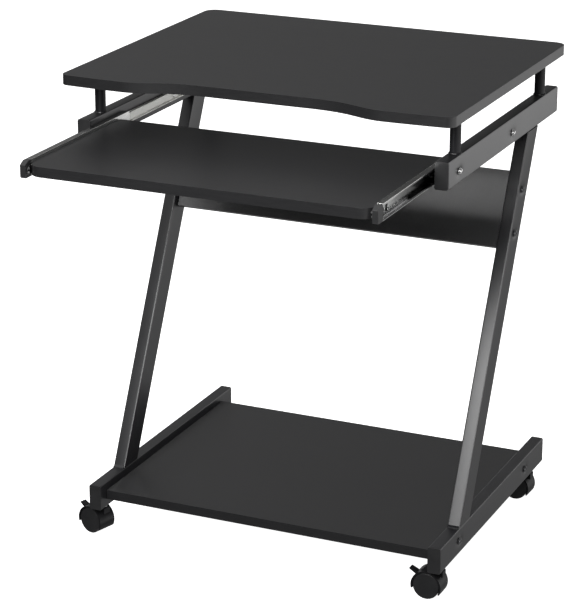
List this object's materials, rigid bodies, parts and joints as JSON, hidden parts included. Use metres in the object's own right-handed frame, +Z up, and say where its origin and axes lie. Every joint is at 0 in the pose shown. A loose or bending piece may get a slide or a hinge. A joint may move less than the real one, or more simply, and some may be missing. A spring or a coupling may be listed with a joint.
{
  "type": "computer desk",
  "caption": "Wheeled computer desk with slanted side frames, a scooped desktop, a pull-out keyboard tray on ball slides, a back panel and a low shelf.",
  "frame": {"origin": "centre of the bounding box footprint at floor level, keyboard tray pulled out", "axes": "+Z up, -Y the front side where the tray pulls out, +X to the user's right"},
  "size_m": [0.624, 0.6766, 0.7355],
  "materials": {
    "board": "charcoal melamine on chipboard, fine satin grain",
    "frame_paint": "black powder coat, satin",
    "cap_plastic": "black moulded plastic",
    "slide_zinc": "bright zinc plated steel",
    "cage_steel": "plain steel ball retainer",
    "bright_steel": "bright zinc plated fastener",
    "black_bolt": "black coated bolt",
    "caster_plastic": "black nylon",
    "wheel_plastic": "black nylon wheel"
  },
  "bodies": {
    "frame": {"desktop": "board", "bottom_shelf": "board", "back_panel": "board", "upper_rail_left": "frame_paint", "lower_rail_left": "frame_paint", "leg_left": "frame_paint", "riser_front_left": "frame_paint", "riser_rear_left": "frame_paint", "upper_cap_front_left": "cap_plastic", "upper_cap_rear_left": "cap_plastic", "lower_cap_front_left": "cap_plastic", "lower_cap_rear_left": "cap_plastic", "slide_rail_left": "slide_zinc", "slide_bolt_1_left": "bright_steel", "shelf_bolt_1_left": "black_bolt", "panel_bolt_1_left": "black_bolt", "slide_bolt_2_left": "bright_steel", "shelf_bolt_2_left": "black_bolt", "panel_bolt_2_left": "black_bolt", "caster_stem_front_left": "bright_steel", "caster_stem_rear_left": "bright_steel", "upper_rail_right": "frame_paint", "lower_rail_right": "frame_paint", "leg_right": "frame_paint", "riser_front_right": "frame_paint", "riser_rear_right": "frame_paint", "upper_cap_front_right": "cap_plastic", "upper_cap_rear_right": "cap_plastic", "lower_cap_front_right": "cap_plastic", "lower_cap_rear_right": "cap_plastic", "slide_rail_right": "slide_zinc", "slide_bolt_1_right": "bright_steel", "shelf_bolt_1_right": "black_bolt", "panel_bolt_1_right": "black_bolt", "slide_bolt_2_right": "bright_steel", "shelf_bolt_2_right": "black_bolt", "panel_bolt_2_right": "black_bolt", "caster_stem_front_right": "bright_steel", "caster_stem_rear_right": "bright_steel"},
    "tray": {"keyboard_tray": "board", "slide_channel_left": "slide_zinc", "slide_bumper_left": "cap_plastic", "slide_channel_right": "slide_zinc", "slide_bumper_right": "cap_plastic"},
    "cage_left": {"ball_cage_left": "cage_steel"},
    "cage_right": {"ball_cage_right": "cage_steel"},
    "caster_front_left": {"caster_hood_front_left": "caster_plastic"},
    "wheel_inner_front_left": {"caster_wheel_inner_front_left": "wheel_plastic"},
    "wheel_outer_front_left": {"caster_wheel_outer_front_left": "wheel_plastic"},
    "brake_front_left": {"caster_brake_front_left": "caster_plastic"},
    "caster_front_right": {"caster_hood_front_right": "caster_plastic"},
    "wheel_inner_front_right": {"caster_wheel_inner_front_right": "wheel_plastic"},
    "wheel_outer_front_right": {"caster_wheel_outer_front_right": "wheel_plastic"},
    "brake_front_right": {"caster_brake_front_right": "caster_plastic"},
    "caster_rear_left": {"caster_hood_rear_left": "caster_plastic"},
    "wheel_inner_rear_left": {"caster_wheel_inner_rear_left": "wheel_plastic"},
    "wheel_outer_rear_left": {"caster_wheel_outer_rear_left": "wheel_plastic"},
    "caster_rear_right": {"caster_hood_rear_right": "caster_plastic"},
    "wheel_inner_rear_right": {"caster_wheel_inner_rear_right": "wheel_plastic"},
    "wheel_outer_rear_right": {"caster_wheel_outer_rear_right": "wheel_plastic"}
  },
  "joints": [
    {"name": "tray_slide", "type": "slide", "parent": "frame", "child": "tray", "axis": [0, -1, 0], "range_m": [-0.19, 0]},
    {"name": "cage_left_slide", "type": "slide", "parent": "frame", "child": "cage_left", "axis": [0, -1, 0], "range_m": [-0.095, 0]},
    {"name": "cage_right_slide", "type": "slide", "parent": "frame", "child": "cage_right", "axis": [0, -1, 0], "range_m": [-0.095, 0]},
    {"name": "swivel_front_left", "type": "hinge", "parent": "frame", "child": "caster_front_left", "pos_m": [-0.2665, -0.10825, 0.044], "axis": [0, 0, 1], "continuous": true},
    {"name": "roll_inner_front_left", "type": "hinge", "parent": "caster_front_left", "child": "wheel_inner_front_left", "pos_m": [-0.28198, -0.10381, 0.0204], "axis": [-0.2756, -0.9613, 0], "continuous": true},
    {"name": "roll_outer_front_left", "type": "hinge", "parent": "caster_front_left", "child": "wheel_outer_front_left", "pos_m": [-0.28198, -0.10381, 0.0204], "axis": [-0.2756, -0.9613, 0], "continuous": true},
    {"name": "brake_front_left", "type": "hinge", "parent": "caster_front_left", "child": "brake_front_left", "pos_m": [-0.29909, -0.09891, 0.0343], "axis": [-0.2756, -0.9613, 0], "range_deg": [0, 20]},
    {"name": "swivel_front_right", "type": "hinge", "parent": "frame", "child": "caster_front_right", "pos_m": [0.2875, -0.10825, 0.044], "axis": [0, 0, 1], "continuous": true},
    {"name": "roll_inner_front_right", "type": "hinge", "parent": "caster_front_right", "child": "wheel_inner_front_right", "pos_m": [0.2714, -0.10825, 0.0204], "axis": [0, -1, 0], "continuous": true},
    {"name": "roll_outer_front_right", "type": "hinge", "parent": "caster_front_right", "child": "wheel_outer_front_right", "pos_m": [0.2714, -0.10825, 0.0204], "axis": [0, -1, 0], "continuous": true},
    {"name": "brake_front_right", "type": "hinge", "parent": "caster_front_right", "child": "brake_front_right", "pos_m": [0.2536, -0.10825, 0.0343], "axis": [0, -1, 0], "range_deg": [0, 20]},
    {"name": "swivel_rear_left", "type": "hinge", "parent": "frame", "child": "caster_rear_left", "pos_m": [-0.2665, 0.28675, 0.044], "axis": [0, 0, 1], "continuous": true},
    {"name": "roll_inner_rear_left", "type": "hinge", "parent": "caster_rear_left", "child": "wheel_inner_rear_left", "pos_m": [-0.28225, 0.2901, 0.0204], "axis": [-0.2079, -0.9781, 0], "continuous": true},
    {"name": "roll_outer_rear_left", "type": "hinge", "parent": "caster_rear_left", "child": "wheel_outer_rear_left", "pos_m": [-0.28225, 0.2901, 0.0204], "axis": [-0.2079, -0.9781, 0], "continuous": true},
    {"name": "swivel_rear_right", "type": "hinge", "parent": "frame", "child": "caster_rear_right", "pos_m": [0.2875, 0.28675, 0.044], "axis": [0, 0, 1], "continuous": true},
    {"name": "roll_inner_rear_right", "type": "hinge", "parent": "caster_rear_right", "child": "wheel_inner_rear_right", "pos_m": [0.27141, 0.28731, 0.0204], "axis": [-0.0349, -0.9994, 0], "continuous": true},
    {"name": "roll_outer_rear_right", "type": "hinge", "parent": "caster_rear_right", "child": "wheel_outer_rear_right", "pos_m": [0.27141, 0.28731, 0.0204], "axis": [-0.0349, -0.9994, 0], "continuous": true}
  ],
  "couplings": [
    {"joint": "cage_left_slide", "follows": "tray_slide", "ratio": 0.5},
    {"joint": "cage_right_slide", "follows": "tray_slide", "ratio": 0.5}
  ]
}
